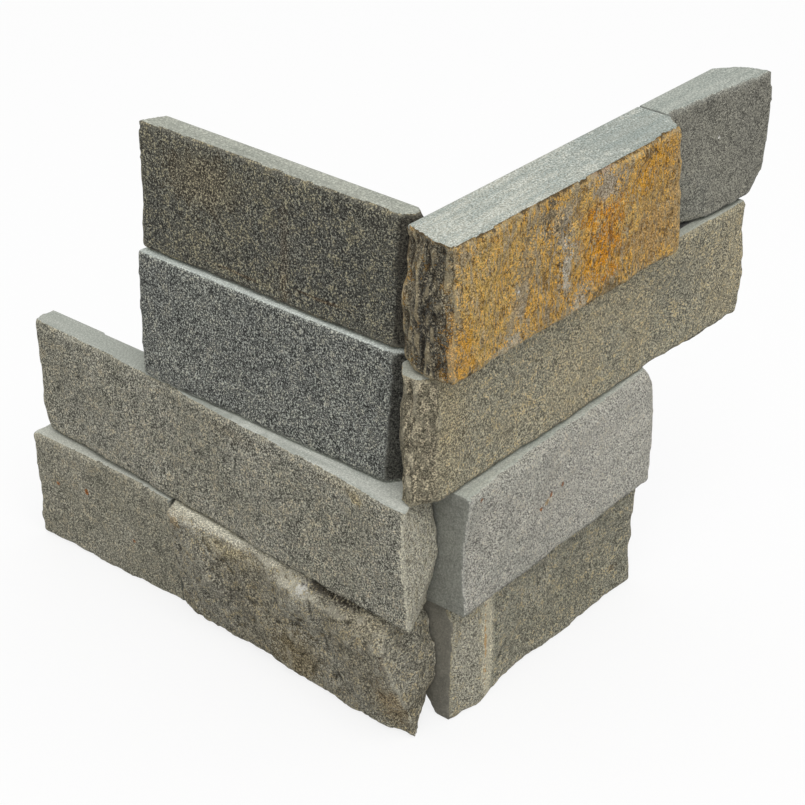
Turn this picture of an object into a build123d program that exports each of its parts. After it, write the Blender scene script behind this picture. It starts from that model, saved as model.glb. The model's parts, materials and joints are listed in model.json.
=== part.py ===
from build123d import *
import os
from dataclasses import dataclass
from math import ceil, cos, pi, sin
from random import Random

# Interlocking outside corner of a stacked stone panel: ten sawn strips of quartzite with split
# faces, glued in four courses on two wings that meet at a right angle. All lengths are in mm.
#
# Frame: the origin is at the base, on the wall's own corner. The left wing runs along +Y and
# shows its split faces to -X; the right wing runs along +X and shows its faces to -Y.
# On either wing, "along" is the distance from the corner and "out" the distance off the wall.

# Courses and joints
course_height = 37.2       # sawn height of every strip
bed_joint = 0.4            # adhesive between two courses
head_joint = 0.5           # adhesive between two strips of one course
corner_joint = 0.5         # adhesive where the strips of one wing butt against the other
joint_inset = 3.0          # the adhesive stops this far short of the faces that show
joint_margin = 0.3         # and this far short of the sawn backs
corner_margin = 9.0        # at the corner it stops this far short of both beds

# Each wing has a short leg and a long one, two courses high, with their ends a little staggered
left_short_leg = 94.8      # from the corner to the end of the top strip
left_third_stagger = 0.2
left_long_leg = 142.8      # to the end of the base strips
left_second_stagger = -1.8
right_long_leg = 134.6     # to the end of the top strips
right_third_stagger = -5.6
right_short_leg = 86.6     # to the end of the base strip
right_second_stagger = -1.2
left_base_head = 84.0      # where the two strips of the left base course meet
right_top_head = 87.6      # where the two strips of the right top course meet

# Where the strips that run through at the corner end, at their backs
left_second_nose = -3.4
left_base_nose = -0.4
right_top_nose = -9.8
right_third_nose = -11.0

# Where the sawn backs of the lower left strips stand off the wall line
left_second_back_at_corner = 4.2
left_second_back_at_end = 1.2
left_base_corner_back = 2.6
left_base_outer_back = 2.0

# Split faces: (top, foot) distances out from the wall at equal steps from corner end to far end
left_top_face = ((7.2, 8.4), (7.4, 8.6), (7.4, 8.4))
left_third_face = ((9.3, 12.2), (10.0, 12.0), (10.0, 12.0))
left_second_face = ((19.6, 19.2), (16.4, 16.8), (13.4, 13.4), (10.6, 10.4), (9.1, 8.0))
left_base_corner_face = (
    (23.6, 15.8), (22.9, 16.2), (22.2, 15.4), (21.0, 13.8), (19.8, 12.3),
    (18.6, 11.6), (17.4, 11.4), (16.4, 12.0), (15.4, 9.2),
)
left_base_outer_face = ((12.6, 9.0), (11.6, 9.0), (12.0, 9.2))
right_top_corner_face = ((17.2, 18.2), (17.4, 18.0), (17.0, 18.2))
right_top_outer_face = ((9.8, 10.0), (11.8, 12.2), (14.2, 13.4))
right_third_face = ((12.6, 12.2), (13.4, 12.0), (13.2, 11.4), (13.8, 12.4))
right_second_face = ((17.8, 16.4), (15.6, 15.4), (14.8, 14.8), (12.8, 13.6))
right_base_face = (
    (10.6, 11.0), (10.4, 12.4), (9.8, 10.0), (9.4, 8.8), (9.2, 9.2),
    (9.0, 9.0), (8.8, 8.8), (8.6, 8.6), (8.6, 8.8),
)

# What has broken off
left_base_crest_spall = (left_base_nose, 62.0, 5.4)      # along, reach and depth
right_base_lost_corner = (12.0, 5.8, 7.4)                # along, out and height

# How finely the split faces are broken up
facet_length = 3.5         # along a strip
levels = (
    0.0, 0.03, 0.09, 0.17, 0.26, 0.36, 0.46, 0.56, 0.66, 0.75, 0.84, 0.91, 0.97, 1.0,
)                          # shares of a strip's height
square_end = (0.0, 0.0, 0.0, 0.0)      # a sawn end, from the back to the face
swell_lengths = (52.0, 31.0, 17.0)     # wavelengths of the split relief
swell_heading = 1.1        # radians that a swell may turn away from the strip's length
facet_share = 0.45         # height of the random facets, as a share of the relief
least_chip = 0.25          # the least that the face's edges have crumbled, as a share of the most
edge_relief = 0.35         # share of the relief that is left beside the sawn beds
chip_height = 0.12         # share of the height that an end is broken back beside a bed
waist_level = 0.72         # share of the height where an end is drawn in or stands out
waist_height = 0.35        # and how far above and below that it still shows
spall_height = 0.3         # share of the height that a broken lower edge reaches
crest_height = 0.2         # share of the height that a broken upper edge reaches
saw_allowance = 4.0        # stone left behind a back before it is sawn off


def blend(start, stop, share):
    """A value between two others, share running from 0 to 1."""
    return start + (stop - start) * share


def along_steps(values, share):
    """Read a list of equally spaced values at a share of its length."""
    place = min(max(share, 0.0), 1.0) * (len(values) - 1)
    step = min(int(place), len(values) - 2)
    return blend(values[step], values[step + 1], place - step)


class Relief:
    """Seeded swells and facets of a face that was split and not sawn."""

    def __init__(self, depth, seed):
        self.depth = depth
        self.draw = Random(seed)
        self.swells = []
        for wavelength in swell_lengths:
            heading = self.draw.uniform(-swell_heading, swell_heading)
            turns = 2 * pi / wavelength
            weight = wavelength / sum(swell_lengths)
            phase = self.draw.uniform(0, 2 * pi)
            self.swells.append((weight, turns * cos(heading), turns * sin(heading), phase))

    def at(self, along, height):
        """Height of the relief at a point, with a small random facet step."""
        swell = sum(w * sin(a * along + b * height + phase) for w, a, b, phase in self.swells)
        return self.depth * (swell + self.draw.uniform(-facet_share, facet_share))

    def chip(self):
        """How much of the arris has crumbled at a point, at most 1."""
        return blend(least_chip, 1.0, self.draw.random() ** 2)


@dataclass
class End:
    """One end of a strip, as offsets from its place at even steps from the back to the face."""

    place: float           # distance along the wing
    top: tuple = square_end
    foot: tuple = square_end
    bulge: tuple = square_end      # how much further each of them stands out at middle height
    waist: tuple = square_end      # the same for the upper part of the height
    chip: tuple = square_end       # how far each is broken back beside the top bed
    foot_chip: tuple = square_end      # and beside the lower bed
    relief: float = 0.0    # roughness of a split end

    def line(self, level):
        """The end's distances along the wing at a share of the height."""
        shares = (
            level,
            1 - level,
            sin(pi * level),
            max(0.0, 1 - abs(level - waist_level) / waist_height),
            max(0.0, 1 - (1 - level) / chip_height),
            max(0.0, 1 - level / chip_height),
        )
        offsets = zip(self.top, self.foot, self.bulge, self.waist, self.chip, self.foot_chip)
        return [self.place + sum(o * s for o, s in zip(row, shares)) for row in offsets]


@dataclass
class Strip:
    """One stone of the panel, split at the face and sawn at its back and beds."""

    name: str
    wing: str              # left or right
    course: int            # 0 at the base, 3 at the top
    near: End              # the end at the corner
    far: End
    face: tuple
    relief: float          # depth of the split relief of the face
    seed: int
    backs: tuple = (0.0, 0.0)      # distance off the wall at the corner and at the far end
    arris: float = 1.2     # how much the split face's edges have crumbled
    top_bevel: float = 0.0
    foot_spalls: tuple = ()        # (along, reach, depth) of pieces broken from the lower edge
    crest_spalls: tuple = ()       # and of those broken from the upper edge
    lost_corner: tuple = ()        # (along, out, height) of a piece lost from the corner end's back

    def point(self, along, out):
        """Plan position of a point of this wing."""
        return (-out, along) if self.wing == "left" else (along, -out)

    def bottom(self):
        """Height of the lower bed."""
        return self.course * (course_height + bed_joint)

    def top(self):
        """Height of the upper bed."""
        return self.bottom() + course_height

    def reach(self):
        """Where the strip starts and stops along its wing."""
        return self.near.place, self.far.place

    def sound_reach(self):
        """The part of its reach that the slants of its ends leave whole."""
        near, far = self.near, self.far
        return near.place + max(near.top + near.foot), far.place + min(far.top + far.foot)

    def back_at(self, along):
        """How far the sawn back stands off the wall."""
        start, stop = self.reach()
        return blend(*self.backs, (along - start) / (stop - start))

    def face_at(self, along, level=0.5):
        """How far out the split face stands, without its relief."""
        start, stop = self.reach()
        share = (along - start) / (stop - start)
        top = along_steps([pair[0] for pair in self.face], share)
        foot = along_steps([pair[1] for pair in self.face], share)
        return blend(foot, top, level)

    def crumbled(self, along, level, relief):
        """How far the face is worn back at a point near its edges."""
        worn = 0.0
        if level in (levels[0], levels[-1]):
            worn = self.arris * relief.chip()
        if level == levels[-1]:
            worn += self.top_bevel
        if level == levels[-2]:
            worn += self.top_bevel / 2
        for spalls, share in (
            (self.foot_spalls, max(0.0, 1 - level / spall_height)),
            (self.crest_spalls, max(0.0, 1 - (1 - level) / crest_height)),
        ):
            for middle, reach, depth in spalls:
                worn += depth * share * max(0.0, 1 - abs(along - middle) / reach)
        return worn

    def section(self, level, relief):
        """Plan outline of the uncut strip at one level."""
        near = self.near.line(level)
        far = self.far.line(level)
        facets = ceil((self.reach()[1] - self.reach()[0]) / facet_length)
        face = []
        for step in range(facets + 1):
            along = blend(near[-1], far[-1], step / facets)
            fade = blend(edge_relief, 1.0, sin(pi * level))
            out = self.face_at(along, level) + fade * relief.at(along, level * course_height)
            face.append((along, out - self.crumbled(along, level, relief)))
        near_side = self.end_points(near, face[0], self.near, relief)
        far_side = self.end_points(far, face[-1], self.far, relief)
        outline = near_side + face + far_side[::-1]
        height = self.bottom() + level * course_height
        return [Vector(*self.point(along, out), height) for along, out in outline]

    def end_points(self, places, corner, end, relief):
        """Outline of one end, from behind the back to the corner of the face."""
        start = self.back_at(places[0])
        points = [(places[0], start - saw_allowance)]
        for step, along in enumerate(places[:-1]):
            rough = end.relief * relief.draw.uniform(-1, 1)
            points.append((along + rough, blend(start, corner[1], step / (len(places) - 1))))
        return points

    def solid(self):
        """The strip: a riven slab, sawn along its back."""
        relief = Relief(self.relief, self.seed)
        slab = faceted_loft([self.section(level, relief) for level in levels])
        start, stop = self.reach()[0] - course_height, self.reach()[1] + course_height
        waste = [
            self.point(start, self.back_at(start)),
            self.point(stop, self.back_at(stop)),
            self.point(stop, -course_height),
            self.point(start, -course_height),
        ]
        strip = slab - slice_of(waste, self.bottom(), self.top())
        return strip - self.lost_piece() if self.lost_corner else strip

    def lost_piece(self):
        """The piece broken from the lower back corner of the end at the wall's corner."""
        start = self.near.place - saw_allowance       # the piece starts outside the strip
        back = self.back_at(self.near.place) - saw_allowance
        foot = self.bottom() - saw_allowance
        spare = 1 + sum(saw_allowance / leg for leg in self.lost_corner)
        along, out, height = (leg * spare for leg in self.lost_corner)
        apex = Vector(*self.point(start, back), foot)
        tips = (
            Vector(*self.point(start + along, back), foot),
            Vector(*self.point(start, back + out), foot),
            Vector(*self.point(start, back), foot + height),
        )
        sides = [polygon(*tips)]
        for one, other in zip(tips, tips[1:] + tips[:1]):
            sides.append(polygon(apex, one, other))
        return Solid(Shell(sides))


def polygon(*corners):
    """A flat face on its corners."""
    return Face(Wire.make_polygon(corners, close=True))


def faceted_loft(rings):
    """A loft through outlines that breaks every side into two flat facets, as stone does."""
    facets = [polygon(*rings[0]), polygon(*rings[-1])]
    for lower, upper in zip(rings, rings[1:]):
        sides = zip(lower, lower[1:] + lower[:1], upper[1:] + upper[:1], upper)
        for a, b, c, d in sides:
            if (a - c).length < (b - d).length:
                facets += [polygon(a, b, c), polygon(a, c, d)]
            else:
                facets += [polygon(a, b, d), polygon(b, c, d)]
    return Solid(Shell(facets))


def slice_of(plan, bottom, top):
    """An upright prism on a plan outline."""
    outline = [(x, y, bottom) for x, y in plan]
    return extrude(polygon(*outline), top - bottom, dir=(0, 0, 1))


# The strips

left_top = Strip(
    "left_top_stone", "left", 3,
    near=End(corner_joint, (0.0, 0.0, 1.6, 5.2), (0.0, 0.0, 1.8, 5.6), chip=(4.0, 1.2, 0.4, 0.0)),
    far=End(left_short_leg, (-3.8, -2.0, -1.0, 0.0), (-1.8, -1.0, -0.8, -0.4), relief=0.4),
    face=left_top_face, relief=0.6, seed=11,
)
left_third = Strip(
    "left_third_stone", "left", 2,
    near=End(corner_joint, (0.0, 0.0, 1.4, 4.2), (0.0, 0.0, 1.4, 4.6)),
    far=End(
        left_short_leg + left_third_stagger, (-1.2, -0.8, -0.4, 0.0), (-3.0, -2.6, -2.2, -2.0),
        relief=0.3,
    ),
    face=left_third_face, relief=0.4, seed=12, arris=0.8,
)
left_second = Strip(
    "left_second_stone", "left", 1,
    near=End(
        left_second_nose, (0.0, -1.4, -3.0, -5.2), (0.4, -2.0, -4.0, -6.6),
        bulge=(-3.8, -2.6, -1.4, 0.6), relief=0.5,
    ),
    far=End(
        left_long_leg + left_second_stagger, (-0.4, 0.0, 0.2, 0.2), (-1.4, -0.6, -0.2, -0.2),
        foot_chip=(-1.0, -1.8, -2.4, -3.0), relief=0.4,
    ),
    face=left_second_face, relief=1.1, seed=13, arris=1.6,
    backs=(left_second_back_at_corner, left_second_back_at_end),
)
left_base_corner = Strip(
    "left_base_corner_stone", "left", 0,
    near=End(
        left_base_nose, (0.0, -1.2, -2.0, -2.4), (-0.6, -3.2, -6.0, -8.4),
        bulge=(-5.0, -4.0, -2.4, -0.8), relief=0.8,
    ),
    far=End(left_base_head, (0.0, 0.0, 0.0, -2.0), (0.0, 0.0, 0.0, -0.2)),
    face=left_base_corner_face, relief=2.6, seed=14, arris=2.4,
    backs=(left_base_corner_back, left_base_corner_back),
    crest_spalls=(left_base_crest_spall,),
)
left_base_outer = Strip(
    "left_base_outer_stone", "left", 0,
    near=End(left_base_head + head_joint),
    far=End(left_long_leg, (-1.8, -0.6, 0.0, 0.0), (-1.6, -0.8, 0.4, 1.0), relief=0.5),
    face=left_base_outer_face, relief=0.9, seed=15,
    backs=(left_base_outer_back, left_base_outer_back),
)
right_top_corner = Strip(
    "right_top_corner_stone", "right", 3,
    near=End(
        right_top_nose, (0.0, -1.8, -2.8, -3.0), (0.2, -3.6, -4.6, -3.6),
        bulge=(-2.0, -1.6, -1.0, 0.2), waist=(2.0, 1.0, 0.4, 0.0), relief=0.8,
    ),
    far=End(right_top_head, (0.0, 0.0, 0.0, -3.6), (0.0, 0.0, 0.0, -3.0)),
    face=right_top_corner_face, relief=1.1, seed=16, arris=1.5,
)
right_top_outer = Strip(
    "right_top_outer_stone", "right", 3,
    near=End(right_top_head + head_joint),
    far=End(
        right_long_leg, (-10.6, -5.0, -2.6, -1.4), (-9.6, -5.0, -2.4, -1.4),
        bulge=(1.0, 1.2, 1.4, 1.6), foot_chip=(0.0, 0.0, -1.4, -3.2), relief=0.6,
    ),
    face=right_top_outer_face, relief=0.7, seed=17, arris=1.4,
    foot_spalls=((right_top_head + 6.0, 11.0, 3.6), (right_long_leg - 3.0, 4.0, 2.0)),
)
right_third = Strip(
    "right_third_stone", "right", 2,
    near=End(
        right_third_nose, (0.0, -4.6, -5.4, -0.4), (1.0, -4.0, -5.4, 1.2),
        bulge=(-0.6, -0.8, -0.8, -0.6), relief=0.8,
    ),
    far=End(
        right_long_leg + right_third_stagger, (-4.0, -3.0, -2.6, -2.6), (-3.0, -1.8, -0.6, -0.4),
        bulge=(0.8, 0.8, 0.8, 0.8), waist=(0.0, -0.4, -0.8, -1.2), foot_chip=(0.0, -0.4, -0.8, -1.2),
        relief=0.6,
    ),
    face=right_third_face, relief=0.9, seed=18, arris=1.4,
)
right_second = Strip(
    "right_second_stone", "right", 1,
    near=End(corner_joint - left_second_back_at_corner),
    far=End(
        right_short_leg + right_second_stagger, (-3.4, -2.8, -2.2, -2.0), (-4.4, -2.4, -1.6, -0.8),
        bulge=(2.0, 2.2, 2.2, 2.2), relief=0.6,
    ),
    face=right_second_face, relief=0.9, seed=19, top_bevel=1.8,
)
right_base = Strip(
    "right_base_stone", "right", 0,
    near=End(corner_joint - left_base_corner_back),
    far=End(
        right_short_leg, (-1.2, -0.6, -0.2, 0.2), (-2.0, -1.0, -0.4, 0.2),
        bulge=(-0.6, -0.6, -0.8, -0.8), relief=0.6,
    ),
    face=right_base_face, relief=1.1, seed=20, lost_corner=right_base_lost_corner,
)

strips = (
    left_top, left_third, left_second, left_base_corner, left_base_outer,
    right_top_corner, right_top_outer, right_third, right_second, right_base,
)


# The adhesive, seated face to face in the sawn joints

def bed(name, below, above):
    """Adhesive between one or more strips and those that lie on them."""
    start = max(below[0].sound_reach()[0], above[0].sound_reach()[0]) + joint_inset
    stop = min(below[-1].sound_reach()[1], above[-1].sound_reach()[1]) - joint_inset
    plan = []
    for along, under, over in ((start, below[0], above[0]), (stop, below[-1], above[-1])):
        back = max(under.back_at(along), over.back_at(along)) + joint_margin
        front = min(under.face_at(along, 1.0), over.face_at(along, 0.0)) - joint_inset
        plan.append((under.point(along, back), under.point(along, front)))
    outline = [plan[0][0], plan[0][1], plan[1][1], plan[1][0]]
    return name, slice_of(outline, below[0].top(), above[0].bottom())


def head(name, near, far):
    """Adhesive between two strips of one course."""
    start, stop = near.reach()[1], far.reach()[0]
    back = max(near.back_at(start), far.back_at(stop)) + joint_margin
    front = min(near.face_at(start), far.face_at(stop)) - joint_inset
    outline = [near.point(a, o) for a, o in ((start, back), (stop, back), (stop, front), (start, front))]
    return name, slice_of(outline, near.bottom(), near.top() - joint_inset)


def corner(name, through, butting):
    """Adhesive between the back of a strip that runs through and the end that butts on it."""
    end = butting.reach()[0]
    inner = butting.back_at(end) + joint_margin
    outer = inner + joint_inset
    outline = [butting.point(end, inner), butting.point(end, outer)]
    for out in (outer, inner):
        outline.append(through.point(-out, through.back_at(-out)))
    return name, slice_of(outline, butting.bottom() + corner_margin, butting.top() - corner_margin)


joints = (
    bed("adhesive_left_base_bed", (left_base_corner, left_base_outer), (left_second,)),
    bed("adhesive_left_second_bed", (left_second,), (left_third,)),
    bed("adhesive_left_third_bed", (left_third,), (left_top,)),
    bed("adhesive_right_base_bed", (right_base,), (right_second,)),
    bed("adhesive_right_second_bed", (right_second,), (right_third,)),
    bed("adhesive_right_third_bed", (right_third,), (right_top_corner, right_top_outer)),
    head("adhesive_left_base_head", left_base_corner, left_base_outer),
    head("adhesive_right_top_head", right_top_corner, right_top_outer),
    corner("adhesive_base_corner", left_base_corner, right_base),
    corner("adhesive_second_corner", left_second, right_second),
    corner("adhesive_third_corner", right_third, left_third),
    corner("adhesive_top_corner", right_top_corner, left_top),
)

os.makedirs("parts", exist_ok=True)
for strip in strips:
    export_step(strip.solid(), f"parts/{strip.name}.step")
for name, adhesive in joints:
    export_step(adhesive, f"parts/{name}.step")
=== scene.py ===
"""Dresses the interlocking stone corner: split and sawn stone, and a soft studio round it."""

import json
import logging
import math
from collections.abc import Sequence
from dataclasses import dataclass, replace
from enum import Enum
from statistics import NormalDist

import bmesh
import bpy
import numpy as np
from mathutils import Matrix, Vector

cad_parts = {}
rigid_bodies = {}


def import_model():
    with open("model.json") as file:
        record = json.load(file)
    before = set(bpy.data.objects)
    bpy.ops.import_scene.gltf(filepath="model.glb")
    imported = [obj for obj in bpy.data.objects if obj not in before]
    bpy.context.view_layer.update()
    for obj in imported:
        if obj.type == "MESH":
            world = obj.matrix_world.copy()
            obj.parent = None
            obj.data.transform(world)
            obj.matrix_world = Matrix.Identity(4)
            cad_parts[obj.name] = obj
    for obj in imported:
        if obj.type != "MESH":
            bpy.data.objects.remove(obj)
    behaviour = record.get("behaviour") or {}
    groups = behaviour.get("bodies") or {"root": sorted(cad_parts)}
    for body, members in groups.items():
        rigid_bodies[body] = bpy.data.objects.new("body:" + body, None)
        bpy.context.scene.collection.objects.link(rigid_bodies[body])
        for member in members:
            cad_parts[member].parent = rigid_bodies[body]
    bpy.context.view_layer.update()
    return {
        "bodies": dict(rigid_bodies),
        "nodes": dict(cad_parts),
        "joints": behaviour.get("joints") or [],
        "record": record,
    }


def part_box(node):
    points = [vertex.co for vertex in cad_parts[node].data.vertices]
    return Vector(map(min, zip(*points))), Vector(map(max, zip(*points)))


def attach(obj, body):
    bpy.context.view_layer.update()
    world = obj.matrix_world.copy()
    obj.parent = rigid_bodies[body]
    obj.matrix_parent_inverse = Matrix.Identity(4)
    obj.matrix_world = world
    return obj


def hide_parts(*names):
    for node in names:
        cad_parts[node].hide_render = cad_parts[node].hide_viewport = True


MM = 0.001
WELD = 1e-6                    # m between points that count as one
NOISE_SPREAD = 0.135           # of one octave of noise
DISPLAY_KNEE, DISPLAY_SLOPE, DISPLAY_OFFSET, DISPLAY_POWER = 0.04045, 12.92, 0.055, 2.4    # sRGB
UP = (0.0, 0.0, 1.0)
WHITE = (1.0, 1.0, 1.0, 1.0)
LOG = logging.getLogger("stone_corner")

Colour = tuple[float, float, float, float]


def tone(red: float, green: float, blue: float) -> Colour:
    """Turn a display tone into the linear colour that a shader takes.

    Args:
        red: Red part, 0 to 255.
        green: Green part, 0 to 255.
        blue: Blue part, 0 to 255.

    Returns:
        The linear colour with an alpha of 1.
    """
    linear = []
    for share in (red / 255, green / 255, blue / 255):
        if share <= DISPLAY_KNEE:
            linear.append(share / DISPLAY_SLOPE)
        else:
            linear.append(((share + DISPLAY_OFFSET) / (1.0 + DISPLAY_OFFSET)) ** DISPLAY_POWER)
    return linear[0], linear[1], linear[2], 1.0


class Wing(Enum):
    """The two wings, each with the way its split faces look."""

    LEFT = (-1.0, 0.0, 0.0)
    RIGHT = (0.0, -1.0, 0.0)

    def outward(self) -> np.ndarray:
        """Direction that the split faces look in."""
        return np.array(self.value)

    def along(self) -> np.ndarray:
        """Direction away from the corner."""
        return np.array((-self.value[1], -self.value[0], 0.0))


class Sawn(Enum):
    """Which ends of a strip were sawn and not split."""

    NEITHER = (False, False)
    NEAR = (True, False)
    FAR = (False, True)


class Shade:
    """A shader socket that takes part in Python sums."""

    def __init__(self, bench: "Bench", socket: bpy.types.NodeSocket) -> None:
        """Keep the socket and the bench that it is on."""
        self.bench = bench
        self.socket = socket

    def _sum(self, operation: str, first: "Shade | float", second: "Shade | float") -> "Shade":
        """Add the Math node for one operation."""
        return self.bench.node("ShaderNodeMath", {"operation": operation}, {0: first, 1: second})

    def __add__(self, other: "Shade | float") -> "Shade":
        """This value plus another."""
        return self._sum("ADD", self, other)

    def __radd__(self, other: float) -> "Shade":
        """A number plus this value."""
        return self._sum("ADD", other, self)

    def __sub__(self, other: "Shade | float") -> "Shade":
        """This value less another."""
        return self._sum("SUBTRACT", self, other)

    def __rsub__(self, other: float) -> "Shade":
        """A number less this value."""
        return self._sum("SUBTRACT", other, self)

    def __mul__(self, other: "Shade | float") -> "Shade":
        """This value times another."""
        return self._sum("MULTIPLY", self, other)

    def __rmul__(self, other: float) -> "Shade":
        """A number times this value."""
        return self._sum("MULTIPLY", other, self)

    def step(self, low: float, high: float) -> "Shade":
        """Take a soft step.

        Args:
            low: Where it is 0; this may be the larger of the two.
            high: Where it is 1.

        Returns:
            A value from 0 to 1.
        """
        return self.bench.node(
            "ShaderNodeMapRange",
            {"interpolation_type": "SMOOTHSTEP", "clamp": True},
            {"Value": self, "From Min": low, "From Max": high, "To Min": 0.0, "To Max": 1.0},
        )

    def above(self, share: float, soft: float = 0.35) -> "Shade":
        """Find where noise of spread 1 is at its highest.

        Args:
            share: Share of the surface that is wanted.
            soft: Half the width of its outline.

        Returns:
            1 inside that share of the surface and 0 outside it.
        """
        level = NormalDist().inv_cdf(1.0 - share)
        return self.step(level - soft, level + soft)


class Bench:
    """Builds the nodes of one material or world."""

    def __init__(self, tree: bpy.types.NodeTree) -> None:
        """Clear the tree and start on it."""
        tree.nodes.clear()
        self.tree = tree

    def node(
        self,
        kind: str,
        settings: dict[str, object],
        sockets: dict[str | int, object],
        output: str | int = 0,
    ) -> Shade:
        """Add a node.

        Args:
            kind: Blender's name of the node type.
            settings: Attributes of the node, set before its sockets.
            sockets: Values or other shades for its inputs, by name or place.
            output: Name or place of the output that is wanted.

        Returns:
            The chosen output of the new node.
        """
        node = self.tree.nodes.new(kind)
        for name, value in settings.items():
            setattr(node, name, value)
        for name, value in sockets.items():
            if isinstance(value, Shade):
                self.tree.links.new(value.socket, node.inputs[name])
            else:
                node.inputs[name].default_value = value
        return Shade(self, node.outputs[output] if len(node.outputs) else None)

    def mix(self, factor: Shade | float, first: Shade | Colour, second: Shade | Colour) -> Shade:
        """Blend two colours by a factor."""
        sockets = {0: factor, 6: first, 7: second}
        return self.node("ShaderNodeMix", {"data_type": "RGBA"}, sockets, 2)

    def plain(self, colour: Colour) -> Shade:
        """A colour that is the same all over."""
        return self.mix(0.0, colour, colour)

    def vector(self, operation: str, first: object, second: object, output: int = 0) -> Shade:
        """Add a Vector Math node."""
        sockets = {0: first, 1: second}
        return self.node("ShaderNodeVectorMath", {"operation": operation}, sockets, output)

    def noise(self, place: Shade, length: float, detail: int, rough: float) -> Shade:
        """Noise about 0 with a spread of 1.

        Args:
            place: Position in mm.
            length: Length of its features, mm.
            detail: How many finer octaves it has.
            rough: Strength of each octave over the last.

        Returns:
            The noise.
        """
        octaves = [rough**step for step in range(detail + 1)]
        spread = NOISE_SPREAD * math.sqrt(sum(v * v for v in octaves)) / sum(octaves)
        sockets = {"Vector": place, "Scale": 1 / length, "Detail": float(detail)}
        noise = self.node("ShaderNodeTexNoise", {}, {**sockets, "Roughness": rough})
        return (noise - 0.5) * (1 / spread)

    def place(self) -> Shade:
        """Position on the object, mm."""
        coordinates = self.node("ShaderNodeTexCoord", {}, {}, "Object")
        return self.stretched(coordinates, (1.0 / MM,) * 3)

    def stretched(self, place: Shade, scale: Sequence[float]) -> Shade:
        """A place drawn out along the axes whose scale is small."""
        return self.vector("MULTIPLY", place, tuple(float(part) for part in scale))

    def scaled(self, colour: Shade, mask: Shade, share: Colour) -> Shade:
        """Turn a colour towards a multiple of itself where a mask is 1."""
        return self.mix(mask, colour, self.vector("MULTIPLY", colour, share[:3]))

    def measure(self, name: str) -> Shade:
        """A number stored on the points of the mesh."""
        return self.node("ShaderNodeAttribute", {"attribute_name": name}, {}, 2)


def new_material(name: str) -> tuple[bpy.types.Material, Bench]:
    """Start a material.

    Args:
        name: Name of the material.

    Returns:
        The material and the bench for its nodes.
    """
    material = bpy.data.materials.new(name)
    material.use_nodes = True
    return material, Bench(material.node_tree)


class Side(Enum):
    """Where on a stone a mark lies."""

    FACE = "face"
    END = "end"
    BED = "bed"
    VEIN = "vein"              # on the face, over its grains


MARK_BREAK = 0.24              # how far noise moves a mark's outline, in shares of its reach
MARK_EDGE = (1.15, 0.6)        # where a mark starts and where it is whole, in the same shares
ON_END, ON_FACE = (0.3, 0.6), (0.8, 0.5)       # the same by the measure near_end
SHIFT_GROWTH, SHIFT_STILL = 1.5, 0.2       # how a shift grows from a strip's back to its face


@dataclass(frozen=True)
class Mark:
    """A patch, speck or vein at a place on a split face, the split end at the corner or a bed."""

    along: float               # share of the way from the corner end, or on an end from the back
    height: float              # share of the height, or on a bed from the back
    reach: tuple[float, float]     # half of each size, mm
    colour: Colour
    strength: float
    ragged: float = 0.5        # how far the grain breaks its outline
    side: Side = Side.FACE

    def mask(self, bench: Bench, pattern: "Pattern", stone: "Stone") -> Shade:
        """Where the mark shows.

        Args:
            bench: Bench to build on.
            pattern: The stone's noises.
            stone: The stone that carries the mark.

        Returns:
            A value from 0 outside the mark to its strength inside.
        """
        low, high = stone.box()
        run, rise = stone.wing.along(), np.array(UP)
        across, height = self.along, self.height
        if self.side is Side.END:
            run, across = -stone.wing.outward(), 1.0 - self.along
        elif self.side is Side.BED:
            rise, height = -stone.wing.outward(), 1.0 - self.height
        centre = low + (high - low) * (run * across + rise * height)
        offset = bench.vector("SUBTRACT", pattern.place, tuple(centre))
        scaled = bench.stretched(offset, run / self.reach[0] + rise / self.reach[1])
        distance = bench.vector("LENGTH", scaled, (0.0, 0.0, 0.0), 1)
        broken = MARK_BREAK * self.ragged
        ragged = distance + pattern.mottle * broken + pattern.specks * broken
        mask = ragged.step(*MARK_EDGE) * self.strength
        if self.side is Side.BED:
            return mask
        return mask * pattern.near_end.step(*(ON_END if self.side is Side.END else ON_FACE))


@dataclass(frozen=True)
class Shift:
    """A place where a strip stands further out, or has broken back."""

    along: float               # share of the way from the corner end
    height: float              # share of the height
    reach: tuple[float, float]     # half width and half height, mm
    out: float                 # mm, negative where it has broken back

    def move(self, points: np.ndarray, stone: "Stone") -> np.ndarray:
        """Work out how far each point moves.

        Args:
            points: Positions in mm.
            stone: The stone that the place is on.

        Returns:
            The movement of each point, mm: all of it at the face and none at the back.
        """
        low, high = stone.box()
        run, outward, rise = stone.wing.along(), stone.wing.outward(), np.array(UP)
        centre = low + (high - low) * (run * self.along + rise * self.height)
        offset = points - centre
        near = 1.0 - ((offset @ run) / self.reach[0]) ** 2 - ((offset @ rise) / self.reach[1]) ** 2
        out = points @ outward
        depth = (out - out.min()) / (out.max() - out.min())
        grown = np.clip(depth * SHIFT_GROWTH - SHIFT_STILL, 0.0, 1.0)
        return (self.out * np.clip(near, 0.0, 1.0) * grown)[:, None] * outward


@dataclass(frozen=True)
class Pattern:
    """The noises and measures that a stone's colours are made from."""

    place: Shade               # position, mm
    fine: Shade                # noise as fine as the grain
    specks: Shade              # noise a little coarser
    mottle: Shade              # noise 3 mm long
    wide: Shade                # drift across the stone
    near_end: Shade            # 1 on the end at the corner
    hollow: Shade              # depth below the surroundings, mm


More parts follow.
